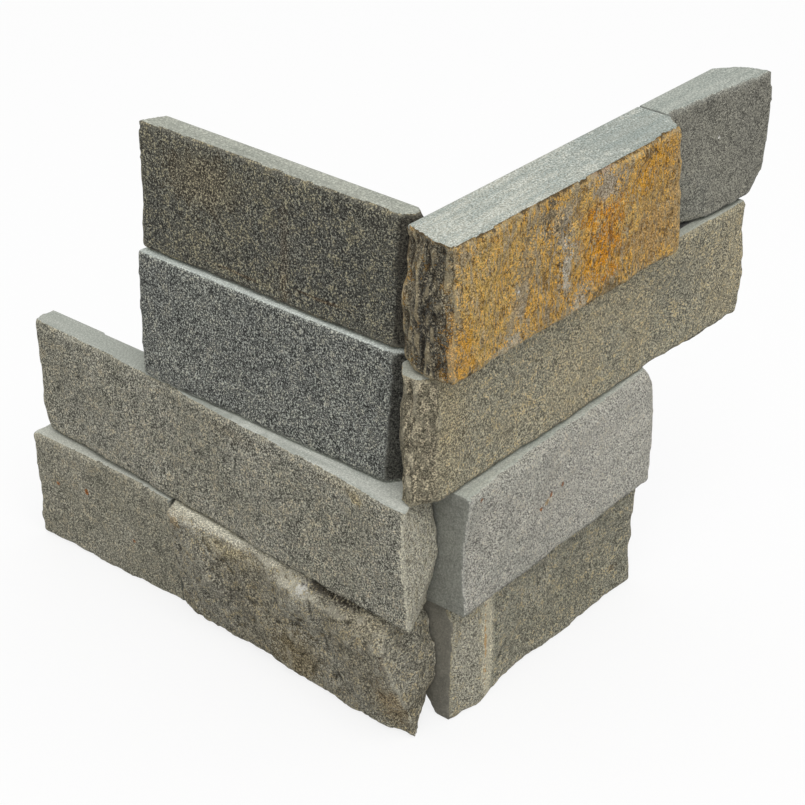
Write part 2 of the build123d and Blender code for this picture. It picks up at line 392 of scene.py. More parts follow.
@dataclass(frozen=True)
class Streaks:
    """Noise drawn out upward, as the layers of a split face are."""

    draw: float                # scale upward: the smaller, the longer
    length: float              # across, mm
    rough: float = 0.65
    soft: float = 0.4          # half the width of their outline

    def noise(self, bench: Bench, pattern: Pattern) -> Shade:
        """The noise, about 0 with a spread of 1."""
        place = bench.stretched(pattern.place, (1.0, 1.0, self.draw))
        return bench.noise(place, self.length, 3, self.rough)

    def above(self, bench: Bench, pattern: Pattern, share: float) -> Shade:
        """1 inside streaks that cover a share of the surface."""
        return self.noise(bench, pattern).above(share, self.soft)


# What all the finishes share. A pair holds the bounds of a soft step: of a noise in its spreads,
# and of a measure of the mesh in its own unit. Weights stand where noises are summed.
FLAKES = Streaks(0.2, 1.5)
FLECKS = Streaks(0.4, 0.7, 0.7, 0.5)
END_RIDGES = Streaks(0.35, 1.1, soft=0.5)
SEAM_LINES = Streaks(0.45, 1.9, 0.5)
APART = (37.0, 11.0, 53.0)     # mm between the places of two noises
SPECK_SIZE, MOTTLE_LENGTH, DRIFT_LENGTH = 1.7, 3.2, 24.0       # in grains, mm and mm
DRIFTED, PATCHED = (-0.9, 0.9), (-0.2, -1.6)       # from ground to cloud, and into dark patches
WARM_STRENGTH, FLAKE_STRENGTH, FLECK_STRENGTH = 0.65, 0.85, 0.8
SEAM_THIN, SEAM_GAPS = (0.09, 0.0), (-0.8, 0.6)    # how thin the seams are, and where they stop
# The first two paint shade into the hollows of the split face: the depths over which it darkens,
# and how far.
SHADED_HOLLOW, HOLLOW_SHADE_STRENGTH, PROUD = (0.03, 0.22), 0.8, (-0.04, -0.25)        # bounds in mm
ARRIS_EDGE, ARRIS_CONTRAST = (0.3, 0.8), 0.5       # the strip along an arris, and its grains
SAWN_EDGE = (0.35, 0.65)       # from split to sawn
END_EDGE, END_CONTRAST = 0.25, 0.9         # width of the step to the end, and its grains
NOSE_STARTS, NOSE_ENDS, NOSE_CLEAR = (0.08, 0.3), (0.8, 0.5), (0.14, 0.3)      # face to end
NOSE_STRENGTH, NOSE_CONTRAST = 0.85, 0.6
LINE_DRAW, LINE_LENGTH = 0.6, 0.4          # fine bedding lines of a sawn surface, mm
BAND_DRAW, BAND_LENGTH = 0.86, 3.0         # its broad bands, mm
BANDED, BAND_STRENGTH = (-1.5, 2.5), 0.4
SAW_MARKED, SAW_MARK_STRENGTH = (-0.4, 2.0), 0.6
SAW_MARK = (0.72, 0.72, 0.73, 1.0)         # what a saw mark leaves of the colour
LEVEL = (0.2, 0.7)             # where a sawn surface takes the paler bed colour, by its normal: painted light and shade
GLINT_SHARE, GLINT, SAWN_GLOSS = 0.03, 0.35, 0.08      # what grains and saw take off roughness


@dataclass(frozen=True)
class StoneFinish:
    """Split and sawn quartzite of one colour."""

    name: str
    slot: str
    ground: Colour             # split face
    cloud: Colour              # what the split face drifts to
    pale: Colour               # what stands proud
    warm: Colour               # iron stain between the grains
    shade: Colour              # what dark grains leave of the colour, and painted shade in hollows
    lift: Colour               # what light grains make of it
    bed: Colour                # sawn beds, painted paler than the sawn sides as light from above
    bed_line: Colour           # bedding that shows in them
    sawn_side: Colour          # sawn ends and back, painted darker than the beds as shade
    arris: Colour              # along the edges of the face
    grain: float = 0.34        # length of a grain, mm
    pale_share: float = 0.2
    dark_share: float = 0.28
    warm_share: float = 0.1
    contrast: float = 0.85     # how far the grains stand out of the ground
    mottling: float = 0.25     # how far patches 3 mm long are darker
    flake: Colour | None = None    # colour of upright flakes
    flake_share: float = 0.3
    fleck: Colour | None = None    # colour of flecks a grain or two wide, over the patches
    fleck_share: float = 0.3
    seams: float = 0.0         # how dark the lines round its flakes are
    bed_contrast: float = 0.25     # how far the grains stand out of sawn surfaces
    bed_lines: float = 0.4     # how strong the fine bedding lines are
    split_end: Colour | None = None    # split end at the corner, where it differs; on the dark and blue finishes, painted shade of the crevice there
    end_ridge: Colour | None = None    # ridges on that end
    ridge_share: float = 0.3
    end_lift: Colour = (2.0, 2.0, 1.95, 1.0)   # what light grains make of that end
    end_starts: float = 0.3    # where that end starts, from 0 on the face to 1 on the end
    end_break: float = 0.06    # how ragged the line is between that end and the face
    nose: Colour | None = None     # the arris between that end and the face
    arris_reach: float = 1.0   # mm
    arris_share: float = 0.5
    crest: float = 0.3         # how far what stands proud is paler
    relief: float = 0.05       # depth of the finest relief, mm
    roughness: float = 0.93
    specular: float = 0.35

    def material(self, stone: "Stone") -> bpy.types.Material:
        """Make the material for one stone.

        Args:
            stone: The stone that wears it.

        Returns:
            The finished material.
        """
        material, bench = new_material(f"{self.name}_{stone.node}")
        pattern = self._pattern(bench)
        sawn = bench.measure("sawn")
        split = self._split_colour(bench, stone, pattern)
        worn = 1.0 - bench.measure("arris") * (1.0 / self.arris_reach)
        ragged = worn + pattern.mottle * 0.22 + pattern.fine * 0.18
        edge = ragged.step(*ARRIS_EDGE) * self.arris_share
        arris = self._grained(bench, self.arris, pattern, ARRIS_CONTRAST, self.lift)
        split = bench.mix(edge, split, arris)
        colour = bench.mix(sawn.step(*SAWN_EDGE), split, self._sawn_colour(bench, stone, pattern))

        height = (pattern.fine + pattern.specks * 0.9 + pattern.mottle * 0.8) * (1.0 - sawn * 0.8)
        bump = {"Strength": 1.0, "Distance": self.relief * MM, "Height": height}
        glints = pattern.specks.above(GLINT_SHARE) * GLINT
        sockets = {
            "Base Color": colour,
            "Roughness": self.roughness - glints - sawn * SAWN_GLOSS,
            "Normal": bench.node("ShaderNodeBump", {}, bump),
            "Specular IOR Level": self.specular,
        }
        surface = bench.node("ShaderNodeBsdfPrincipled", {}, sockets)
        bench.node("ShaderNodeOutputMaterial", {}, {"Surface": surface})
        return material

    def _pattern(self, bench: Bench) -> Pattern:
        """Lay out the noises and read the measures of the mesh.

        Args:
            bench: Bench to build on.

        Returns:
            The noises and measures.
        """
        place = bench.place()
        shifted = bench.vector("ADD", place, APART)
        return Pattern(
            place=place,
            fine=bench.noise(place, self.grain, 1, 0.5),
            specks=bench.noise(shifted, self.grain * SPECK_SIZE, 1, 0.6),
            mottle=bench.noise(place, MOTTLE_LENGTH, 3, 0.6),
            wide=bench.noise(shifted, DRIFT_LENGTH, 2, 0.5),
            near_end=bench.measure("near_end"),
            hollow=bench.measure("hollow"),
        )

    def _grained(
        self, bench: Bench, colour: Shade | Colour, pattern: Pattern, contrast: float, lift: Colour
    ) -> Shade:
        """Break a colour up into dark and light grains.

        Args:
            bench: Bench to build on.
            colour: The colour between them.
            pattern: The stone's noises.
            contrast: How far they stand out of it.
            lift: What light grains make of it.

        Returns:
            The grained colour.
        """
        low = pattern.fine * -0.8 - pattern.mottle * 0.2 - pattern.specks * 0.6
        high = pattern.fine * 0.75 + pattern.specks * 0.65
        if not isinstance(colour, Shade):
            colour = bench.plain(colour)
        colour = bench.scaled(colour, low.above(self.dark_share, 0.3) * contrast, self.shade)
        return bench.scaled(colour, high.above(self.pale_share, 0.3) * contrast, lift)

    def _split_colour(self, bench: Bench, stone: "Stone", pattern: Pattern) -> Shade:
        """Colour of the split face and of the split ends.

        Args:
            bench: Bench to build on.
            stone: The stone that is dressed.
            pattern: Its noises and measures.

        Returns:
            The colour of the split surfaces.
        """
        ground = bench.mix(pattern.wide.step(*DRIFTED), self.ground, self.cloud)
        ground = bench.scaled(ground, pattern.mottle.step(*PATCHED) * self.mottling, self.shade)
        warm = (pattern.mottle * 0.6 + pattern.specks * 0.8).above(self.warm_share, 0.5)
        ground = bench.mix(warm * WARM_STRENGTH, ground, self.warm)
        if self.flake is not None:
            flakes = FLAKES.above(bench, pattern, self.flake_share)
            ground = bench.mix(flakes * FLAKE_STRENGTH, ground, self.flake)
        ground = stone.marked(bench, pattern, ground, Side.FACE)
        if self.fleck is not None:
            flecks = FLECKS.above(bench, pattern, self.fleck_share)
            ground = bench.mix(flecks * FLECK_STRENGTH, ground, self.fleck)
        colour = self._grained(bench, ground, pattern, self.contrast, self.lift)
        colour = stone.marked(bench, pattern, colour, Side.VEIN)
        if self.split_end is not None:
            colour = self._with_end(bench, stone, pattern, colour)
        if self.seams:
            line = SEAM_LINES.noise(bench, pattern)
            thin = (line * line).step(*SEAM_THIN) * pattern.mottle.step(*SEAM_GAPS)
            colour = bench.scaled(colour, thin * self.seams, self.shade)
        # Painted shade: darker in the hollows of the split face, by their depth.
        colour = bench.scaled(colour, pattern.hollow.step(*SHADED_HOLLOW) * HOLLOW_SHADE_STRENGTH, self.shade)
        return bench.mix(pattern.hollow.step(*PROUD) * self.crest, colour, self.pale)

    def _with_end(self, bench: Bench, stone: "Stone", pattern: Pattern, face: Shade) -> Shade:
        """Lay the colour of the split end at the corner beside that of the face.

        Args:
            bench: Bench to build on.
            stone: The stone that is dressed.
            pattern: Its noises and measures.
            face: The colour of the face.

        Returns:
            The colour of both, with the arris between them.
        """
        ridges = END_RIDGES.above(bench, pattern, self.ridge_share)
        end = bench.mix(ridges, self.split_end, self.end_ridge)
        end = stone.marked(bench, pattern, end, Side.END)
        end = self._grained(bench, end, pattern, END_CONTRAST, self.end_lift)
        near = pattern.near_end + pattern.mottle * self.end_break
        near = near + pattern.specks * (self.end_break * 0.7)
        colour = bench.mix(near.step(self.end_starts, self.end_starts + END_EDGE), face, end)
        if self.nose is None:
            return colour
        line = near.step(*NOSE_STARTS) * near.step(*NOSE_ENDS) * pattern.near_end.step(*NOSE_CLEAR)
        nose = self._grained(bench, self.nose, pattern, NOSE_CONTRAST, self.end_lift)
        return bench.mix(line * NOSE_STRENGTH, colour, nose)

    def _sawn_colour(self, bench: Bench, stone: "Stone", pattern: Pattern) -> Shade:
        """Colour of the sawn beds, backs and ends.

        Args:
            bench: Bench to build on.
            stone: The stone that is dressed.
            pattern: Its noises and measures.

        Returns:
            The colour of the sawn surfaces.
        """
        fine = bench.stretched(pattern.place, 1.0 - LINE_DRAW * stone.wing.along())
        lines = bench.noise(fine, LINE_LENGTH, 2, 0.7)
        coarse = bench.stretched(pattern.place, 1.0 - BAND_DRAW * stone.wing.along())
        broad = bench.noise(coarse, BAND_LENGTH, 3, 0.6)
        bed = stone.marked(bench, pattern, bench.plain(self.bed), Side.BED)
        bed = bench.mix(broad.step(*BANDED) * BAND_STRENGTH, bed, self.bed_line)
        bed = bench.mix((lines + broad * 0.4).above(0.3, 0.4) * self.bed_lines, bed, self.bed_line)
        normal = bench.node("ShaderNodeTexCoord", {}, {}, "Normal")
        level = bench.vector("DOT_PRODUCT", normal, UP, 1)
        saw_marks = (lines * 0.6 + broad).step(*SAW_MARKED) * SAW_MARK_STRENGTH
        side = bench.scaled(bench.plain(self.sawn_side), saw_marks, SAW_MARK)
        # Painted light and shade: sawn surfaces facing up or down take the paler bed colour and
        # those facing sideways the darker side colour, though the stone is one.
        colour = bench.mix((level * level).step(*LEVEL), side, bed)
        dark = (pattern.fine * -0.8 - pattern.specks * 0.6).above(0.25, 0.6)
        pale = (pattern.fine * 0.6 + pattern.specks * 0.8).above(0.2, 0.6)
        colour = bench.scaled(colour, dark * self.bed_contrast, self.shade)
        return bench.scaled(colour, pale * (self.bed_contrast * 0.7), self.lift)


class Lattice:
    """Seeded smooth noise for many points at once."""

    SIDE = 24

    def __init__(self, seed: int) -> None:
        """Draw the values of the lattice."""
        self.values = np.random.default_rng(seed).uniform(-1, 1, (self.SIDE,) * 3)

    def at(self, points: np.ndarray, cell: Sequence[float]) -> np.ndarray:
        """Read the noise.

        Args:
            points: Positions in mm.
            cell: Size of a lattice cell along each axis, mm.

        Returns:
            A value from -1 to 1 for each point.
        """
        place = points / np.asarray(cell)
        low = np.floor(place).astype(int)
        part = place - low
        part = part * part * (3 - 2 * part)
        total = np.zeros(len(points))
        for corner in np.ndindex(2, 2, 2):
            step = np.array(corner)
            weight = np.prod(np.where(step, part, 1 - part), axis=1)
            where = (low + step) % self.SIDE
            total += weight * self.values[where[:, 0], where[:, 1], where[:, 2]]
        return total


class Bump(Enum):
    """Relief of one size: its cell and the place where the lattice is read for it, mm."""

    SWELL = (9.0, 0.0)
    RIPPLE = (3.1, 31.0)
    PIT = (1.3, 67.0)
    NIBBLE = (2.6, 5.0)
    SMALL_NIBBLE = (1.2, 43.0)

    def at(self, lattice: Lattice, points: np.ndarray) -> np.ndarray:
        """A value from -1 to 1 for each point."""
        cell, shift = self.value
        return lattice.at(points + shift, (cell,) * 3)


class Skin:
    """A fine even mesh over one stone, with the measures that its shaping needs."""

    def __init__(self, source: bpy.types.Object, cell: float) -> None:
        """Lay the mesh over a CAD node.

        Args:
            source: Object of the CAD node.
            cell: Length of a mesh edge, mm.
        """
        self.cell = cell
        self.mesh = self._even_mesh(source)
        count = len(self.mesh.vertices)
        flat = np.zeros(count * 3, np.float32)
        self.mesh.vertices.foreach_get("co", flat)
        self.points = flat.reshape(-1, 3).astype(float) / MM
        pairs = np.zeros(len(self.mesh.edges) * 2, np.int32)
        self.mesh.edges.foreach_get("vertices", pairs)
        self.edges = pairs.reshape(-1, 2)
        self.degree = np.bincount(pairs, minlength=count).astype(float)

    def _even_mesh(self, source: bpy.types.Object) -> bpy.types.Mesh:
        """Copy the source's mesh and rebuild it from small even cells.

        Args:
            source: Object of the CAD node.

        Returns:
            The new mesh.
        """
        mesh = source.data.copy()
        work = bmesh.new()
        work.from_mesh(mesh)
        bmesh.ops.remove_doubles(work, verts=work.verts, dist=WELD)
        work.to_mesh(mesh)
        work.free()
        draft = bpy.data.objects.new("draft", mesh)
        bpy.context.scene.collection.objects.link(draft)
        remesh = draft.modifiers.new("even", "REMESH")
        remesh.mode = "VOXEL"
        remesh.voxel_size = self.cell * MM
        graph = bpy.context.evaluated_depsgraph_get()
        made = bpy.data.meshes.new_from_object(draft.evaluated_get(graph))
        bpy.data.objects.remove(draft)
        bpy.data.meshes.remove(mesh)
        return made

    def average(self, values: np.ndarray) -> np.ndarray:
        """Take the mean of the neighbours of each point.

        Args:
            values: A number for each point.

        Returns:
            The mean for each point.
        """
        start, stop = self.edges[:, 0], self.edges[:, 1]
        count = len(self.degree)
        total = np.bincount(start, values[stop], count) + np.bincount(stop, values[start], count)
        return total / np.maximum(self.degree, 1.0)

    def relax(self, freedom: np.ndarray, rounds: int) -> None:
        """Smooth the points that are free to move.

        Args:
            freedom: From 0, fixed, to 1, free, for each point.
            rounds: How often to smooth.
        """
        for _ in range(rounds):
            for axis in range(3):
                mean = self.average(self.points[:, axis])
                self.points[:, axis] += 0.5 * freedom * (mean - self.points[:, axis])

    def distance(self, fixed: np.ndarray, limit: float) -> np.ndarray:
        """Distance over the mesh from a set of points.

        Args:
            fixed: True at the points to measure from.
            limit: Distance at which to stop, mm.

        Returns:
            The distance of each point in mm, at most the limit.
        """
        found = np.where(fixed, 0.0, limit)
        start, stop = self.edges[:, 0], self.edges[:, 1]
        length = np.linalg.norm(self.points[start] - self.points[stop], axis=1)
        for _ in range(int(limit / self.cell) + 1):
            np.minimum.at(found, start, found[stop] + length)
            np.minimum.at(found, stop, found[start] + length)
        return found

    def hollows(self, rounds: int = 6) -> np.ndarray:
        """Measure how far each point lies below its smoothed surroundings.

        Args:
            rounds: How often the surroundings are smoothed.

        Returns:
            The depth of each point, mm.
        """
        surround = self.points.copy()
        for _ in range(rounds):
            surround = np.stack([self.average(surround[:, axis]) for axis in range(3)], axis=1)
        return ((surround - self.points) * self.normals()).sum(1)

    def normals(self) -> np.ndarray:
        """Write the points back and read the normals.

        Returns:
            The normal at each point.
        """
        self.write()
        flat = np.zeros(len(self.points) * 3, np.float32)
        self.mesh.vertex_normals.foreach_get("vector", flat)
        return flat.reshape(-1, 3).astype(float)

    def write(self) -> None:
        """Write the points back to the mesh."""
        self.mesh.vertices.foreach_set("co", (self.points * MM).astype(np.float32).ravel())
        self.mesh.update()

    def store(self, name: str, values: np.ndarray) -> None:
        """Keep a number for each point, for the material to read."""
        kept = self.mesh.attributes.new(name, "FLOAT", "POINT")
        kept.data.foreach_set("value", values.astype(np.float32))


# What the shaping of all the stones shares: lengths in mm, and flatness as part of a normal.
FACE_REACH, BED_REACH = 6.0, 3.0           # how far from an arris distances are worked out
HELD, FREE_FROM = 0.15, 3.0                # smoothing at an arris, and where it is whole
END_ROUNDS = 4                             # of smoothing of the measure near_end
SAWN_LEFT, WEAR_LOSS = 1.2, 4.0            # of the sawn look where an arris is worn
ON_PLANE, FLAT, BACK_FLAT = 0.35, 0.8, 0.93        # the first in mesh edges
CORNER_REACH, CORNER_EDGES = 2.0, 2.5      # where two sawn planes meet, the second in mesh edges
NIBBLE_BASE, NIBBLE_MOST = 0.25, 1.2       # of what an arris loses, in parts of chips
FADE_REACH = 2.0                           # from the arris to where relief is whole
LONG_RIDGE, SHORT_RIDGE = (6.0, 2.2, 10.0), (3.0, 1.0, 3.6)        # along, outward and up
RIDGE_SHIFT, TERRACE_SHIFT = 11.0, 83.0    # where the lattice is read for them
TERRACE_STEPS, TERRACE_LEAN, TERRACE_DETAIL = 2.5, 0.25, 0.3
PLANE_SEED, PLANE_AREA, FEWEST_PLANES = 100, 55.0, 8       # of the broken planes; square mm each
PLANE_LEAN, PLANE_RISE, PLANE_MOST = 0.16, 0.6, 1.4        # their slope, height and its limit
PLANE_DEPTH = 0.3                          # how little the depth of a centre counts


@dataclass
class Stone:
    """One strip of the panel: sawn beds and back, a split face and split or sawn ends."""

    node: str
    wing: Wing
    finish: StoneFinish
    seed: int
    sawn_ends: Sawn = Sawn.NEITHER
    relaxing: int = 8          # rounds of smoothing over the split
    swell: float = 0.15        # depth of relief 9 mm long
    ripple: float = 0.09       # depth of relief 3 mm long
    pitting: float = 0.06      # depth of relief 1.3 mm long
    ridges: float = 0.0        # depth of upright ridges on the corner end
    flakes: float = 0.0        # depth of broken planes
    terraces: float = 0.0      # height of the steps between split layers
    terrace_size: tuple[float, float, float] = (8.0, 8.0, 8.0)     # mm
    chips: float = 0.2         # how far the arrises are nibbled
    chip_reach: float = 1.5    # mm from the arris
    shifts: tuple[Shift, ...] = ()
    marks: tuple[Mark, ...] = ()
    cell: float = 0.55         # mesh edge, mm

    def box(self) -> tuple[np.ndarray, np.ndarray]:
        """Lowest and highest corner of the CAD node, mm."""
        low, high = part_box(self.node)
        return np.array(low) / MM, np.array(high) / MM

    def marked(self, bench: Bench, pattern: Pattern, colour: Shade, side: Side) -> Shade:
        """Lay the marks of one side over a colour.

        Args:
            bench: Bench to build on.
            pattern: The stone's noises and measures.
            colour: The colour under them.
            side: The side whose marks are laid.

        Returns:
            The colour with its marks.
        """
        for mark in self.marks:
            if mark.side is side:
                colour = bench.mix(mark.mask(bench, pattern, self), colour, mark.colour)
        return colour

    def build(self, frame: dict) -> bpy.types.Object:
        """Make the dressed stone in place of its CAD node.


        Returns:
            The new object.
        """
        skin = Skin(frame["nodes"][self.node], self.cell)
        low, high = self.box()
        sawn = self._sawn(skin, low, high)
        moves = [shift.move(skin.points, self) for shift in self.shifts]
        skin.points += sum(moves, np.zeros_like(skin.points))
        apart = skin.distance(sawn > 0.5, FACE_REACH)
        inside = skin.distance(sawn < 0.5, BED_REACH)
        skin.relax((1.0 - sawn) * np.clip(HELD + apart / FREE_FROM, 0.0, 1.0), self.relaxing)
        normals = skin.normals()
        near = np.clip(-(normals @ self.wing.along()), 0.0, 1.0) * (1.0 - sawn)
        for _ in range(END_ROUNDS):
            near = 0.5 * near + 0.5 * skin.average(near)
        lattice = Lattice(self.seed)
        wear = self._wear(lattice, skin.points, apart + inside)
        depth = self._relief(lattice, skin.points, near, apart) * (1.0 - sawn) - wear
        skin.points = np.clip(skin.points + normals * depth[:, None], low, high)
        hollows = skin.hollows()
        skin.write()
        skin.store("sawn", sawn * np.clip(SAWN_LEFT - WEAR_LOSS * wear, 0.0, 1.0))
        skin.store("arris", apart)
        skin.store("near_end", near)
        skin.store("hollow", hollows * (1.0 - sawn))
        skin.mesh.shade_smooth()
        skin.mesh.name = f"{self.node}_split"
        piece = bpy.data.objects.new(f"{self.node}_split", skin.mesh)
        bpy.context.scene.collection.objects.link(piece)
        skin.mesh.materials.clear()
        skin.mesh.materials.append(self.finish.material(self))
        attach(piece, "root")
        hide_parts(self.node)
        LOG.info("%s: %d faces", piece.name, len(skin.mesh.polygons))
        return piece

    def _sawn(self, skin: Skin, low: np.ndarray, high: np.ndarray) -> np.ndarray:
        """Find the points on sawn planes.

        Args:
            skin: The stone's mesh.
            low: Lowest corner of the stone, mm.
            high: Highest corner.

        Returns:
            1 at the points of beds, back and sawn ends, and 0 elsewhere.
        """
        near_plane = ON_PLANE * skin.cell
        points, normals = skin.points, skin.normals()
        place = points @ self.wing.along()
        facing = normals @ self.wing.along()
        planes = [
            (points[:, 2] > high[2] - near_plane) & (normals[:, 2] > FLAT),
            (points[:, 2] < low[2] + near_plane) & (normals[:, 2] < -FLAT),
            normals @ self.wing.outward() < -BACK_FLAT,
        ]
        near, far = self.sawn_ends.value
        if near:
            planes.append((place < low @ self.wing.along() + near_plane) & (facing < -FLAT))
        if far:
            planes.append((place > high @ self.wing.along() - near_plane) & (facing > FLAT))
        close = np.zeros(len(points))
        for plane in planes:
            close += skin.distance(plane, CORNER_REACH) < CORNER_EDGES * skin.cell
        sawn = np.any(planes, axis=0) | (close >= 2)
        return sawn.astype(float)

    def _wear(self, lattice: Lattice, points: np.ndarray, apart: np.ndarray) -> np.ndarray:
        """Work out how far the arrises are nibbled away.

        Args:
            lattice: The stone's noise.
            points: Positions in mm.
            apart: Distance from the arrises, mm.

        Returns:
            The depth lost at each point, mm.
        """
        nibble = Bump.NIBBLE.at(lattice, points) + 0.7 * Bump.SMALL_NIBBLE.at(lattice, points)
        bites = np.clip(nibble + NIBBLE_BASE, 0.0, NIBBLE_MOST)
        return self.chips * bites * np.clip(1.0 - apart / self.chip_reach, 0.0, 1.0)

    def _relief(
        self, lattice: Lattice, points: np.ndarray, near: np.ndarray, apart: np.ndarray
    ) -> np.ndarray:
        """Work out how far each point stands out of the smoothed split.

        Args:
            lattice: The stone's noise.
            points: Positions in mm.
            near: 1 on the corner end, 0 on the face.
            apart: Distance from the sawn planes, mm.

        Returns:
            The depth at each point, mm.
        """
        fade = np.clip(apart / FADE_REACH, 0.0, 1.0)
        depth = self.swell * Bump.SWELL.at(lattice, points) * fade
        depth += self.ripple * Bump.RIPPLE.at(lattice, points) * fade
        depth += self.pitting * Bump.PIT.at(lattice, points)
        if self.ridges:
            axes = np.stack((self.wing.along(), np.abs(self.wing.outward()), UP))
            long, short = np.array(LONG_RIDGE) @ axes, np.array(SHORT_RIDGE) @ axes
            ridge = lattice.at(points + RIDGE_SHIFT, long) + 0.7 * lattice.at(points, short)
            depth += self.ridges * ridge * near * fade
        if self.flakes:
            depth += self.flakes * self._broken_planes(points) * fade
        if self.terraces:
            size = np.array(self.terrace_size)
            layers = lattice.at(points + TERRACE_SHIFT, size)
            layers = layers + 0.5 * lattice.at(points, TERRACE_DETAIL * size)
            steps = np.round(layers * TERRACE_STEPS) + TERRACE_LEAN * layers
            depth += self.terraces * steps * fade * (1.0 - near)
        return depth

    def _broken_planes(self, points: np.ndarray) -> np.ndarray:
        """Tilted planes round seeded centres, as a riven face has.

        Args:
            points: Positions in mm.

        Returns:
            A height of about -1 to 1 for each point.
        """
        draw = np.random.default_rng(self.seed + PLANE_SEED)
        low, high = points.min(0), points.max(0)
        count = max(FEWEST_PLANES, int(np.prod(np.sort(high - low)[1:]) / PLANE_AREA))
        centres = draw.uniform(low, high, (count, 3))
        lean = draw.uniform(-PLANE_LEAN, PLANE_LEAN, (count, 3))
        rise = draw.uniform(-PLANE_RISE, PLANE_RISE, count)
        squash = np.where(self.wing.outward() != 0.0, PLANE_DEPTH, 1.0)
        gap = ((points[:, None, :] - centres[None]) * squash) ** 2
        nearest = gap.sum(2).argmin(1)
        offset = points - centres[nearest]
        height = rise[nearest] + (offset * lean[nearest]).sum(1)
        return np.clip(height, -PLANE_MOST, PLANE_MOST)


@dataclass
class AdhesiveBeds:
    """The adhesive in the joints, which keeps the shape that the CAD gives it."""

    prefix: str = "adhesive_"
    paste: Colour = (0.045, 0.045, 0.043, 1.0)
    dust: Colour = (0.12, 0.115, 0.105, 1.0)
    grain: float = 1.4         # mm
    relief: float = 0.03       # mm
    roughness: float = 0.88

    def build(self, frame: dict) -> None:
        """Dress every adhesive node.
        """
        material = self._material()
        for name, node in sorted(frame["nodes"].items()):
            if name.startswith(self.prefix):
                node.data.materials.clear()
                node.data.materials.append(material)
                LOG.info("%s: dressed", name)

    def _material(self) -> bpy.types.Material:
        """Make dull set adhesive with stone dust in it.

        Returns:
            The finished material.
        """
        material, bench = new_material("set_adhesive")
        dusty = bench.noise(bench.place(), self.grain, 4, 0.7)
        bump = {"Distance": self.relief * MM, "Height": dusty}
        sockets = {
            "Base Color": bench.mix(dusty.step(-0.8, 1.4), self.paste, self.dust),
            "Roughness": self.roughness + dusty * 0.02,
            "Normal": bench.node("ShaderNodeBump", {}, bump),
        }
        surface = bench.node("ShaderNodeBsdfPrincipled", {}, sockets)
        bench.node("ShaderNodeOutputMaterial", {}, {"Surface": surface})
        return material


